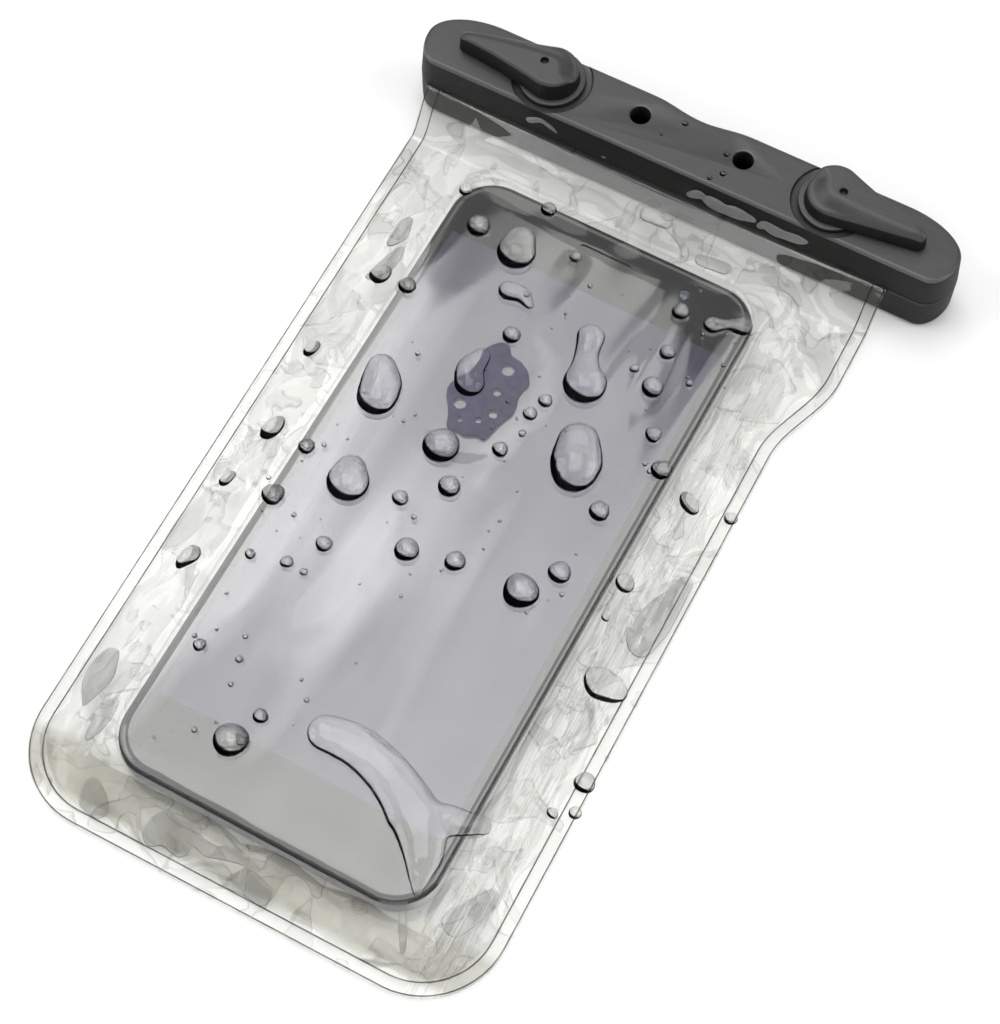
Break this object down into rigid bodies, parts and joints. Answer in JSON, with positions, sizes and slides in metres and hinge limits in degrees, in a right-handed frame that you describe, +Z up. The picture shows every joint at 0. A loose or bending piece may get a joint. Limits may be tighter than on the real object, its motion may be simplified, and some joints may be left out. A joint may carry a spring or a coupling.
{
  "type": "waterproof phone pouch",
  "caption": "Clear welded film pouch with a two-bar locking clamp across its mouth, turning levers and a plain phone lying inside.",
  "frame": {"origin": "middle of the bounding box on the surface that the pouch lies on", "axes": "+X along the clamp to the right, +Y from the pouch towards the clamp, +Z up through the front film"},
  "size_m": [0.125, 0.1918, 0.0229],
  "materials": {
    "bar_plastic": "satin charcoal",
    "lever_plastic": "satin charcoal",
    "ring_steel": "bright",
    "seal_rubber": "matte",
    "clear_film": "clear, glossy",
    "phone_shell": "dark, smooth",
    "phone_glass": "polished dark glass"
  },
  "bodies": {
    "pouch": {"back_bar": "bar_plastic", "back_seal": "seal_rubber", "back_film": "clear_film", "front_film": "clear_film", "phone_shell": "phone_shell", "phone_glass": "phone_glass"},
    "front_bar": {"front_bar": "bar_plastic", "front_seal": "seal_rubber"},
    "left_lever": {"left_lever": "lever_plastic", "left_retaining_ring": "ring_steel"},
    "right_lever": {"right_lever": "lever_plastic", "right_retaining_ring": "ring_steel"}
  },
  "joints": [
    {"name": "front_bar_lift", "type": "slide", "parent": "pouch", "child": "front_bar", "axis": [0, 0, 1], "range_m": [0, 0.014]},
    {"name": "left_lever_turn", "type": "hinge", "parent": "front_bar", "child": "left_lever", "pos_m": [-0.0327, 0.0886, 0.0174], "axis": [0, 0, 1], "range_deg": [-90, 0]},
    {"name": "right_lever_turn", "type": "hinge", "parent": "front_bar", "child": "right_lever", "pos_m": [0.0327, 0.0886, 0.0174], "axis": [0, 0, 1], "range_deg": [0, 90]}
  ]
}
